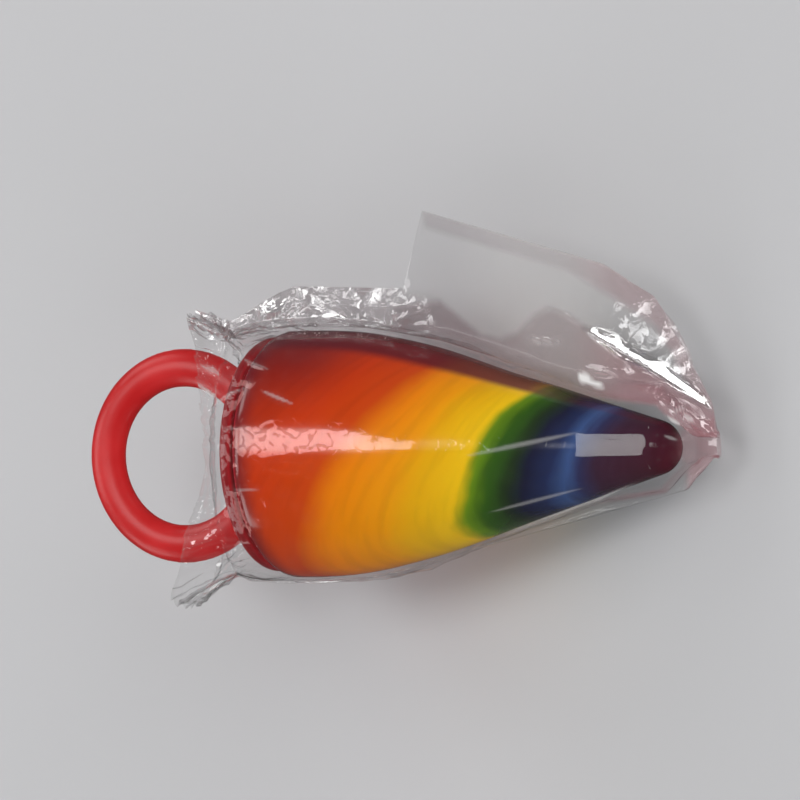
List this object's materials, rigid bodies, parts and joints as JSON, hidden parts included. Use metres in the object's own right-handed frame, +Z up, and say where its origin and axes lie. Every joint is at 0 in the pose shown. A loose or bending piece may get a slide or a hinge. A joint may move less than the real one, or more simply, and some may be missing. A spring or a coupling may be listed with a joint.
{
  "type": "ring lollipop",
  "caption": "Wrapped ring lollipop: a rainbow hard-candy cone on a red plastic finger ring, in clear crinkled film with a flat margin and a frill, lying on its side.",
  "frame": {"origin": "centre of the bounding box at the surface the lollipop lies on", "axes": "+X from the finger ring to the candy's tip, +Y to the side where the film's flat margin stands out, +Z up"},
  "size_m": [0.0694, 0.04, 0.0275],
  "materials": {
    "candy": "gloss",
    "ring": "satin",
    "film": "gloss"
  },
  "bodies": {
    "root": {"candy": "candy", "ring": "ring", "wrapper": "film"}
  },
  "joints": []
}
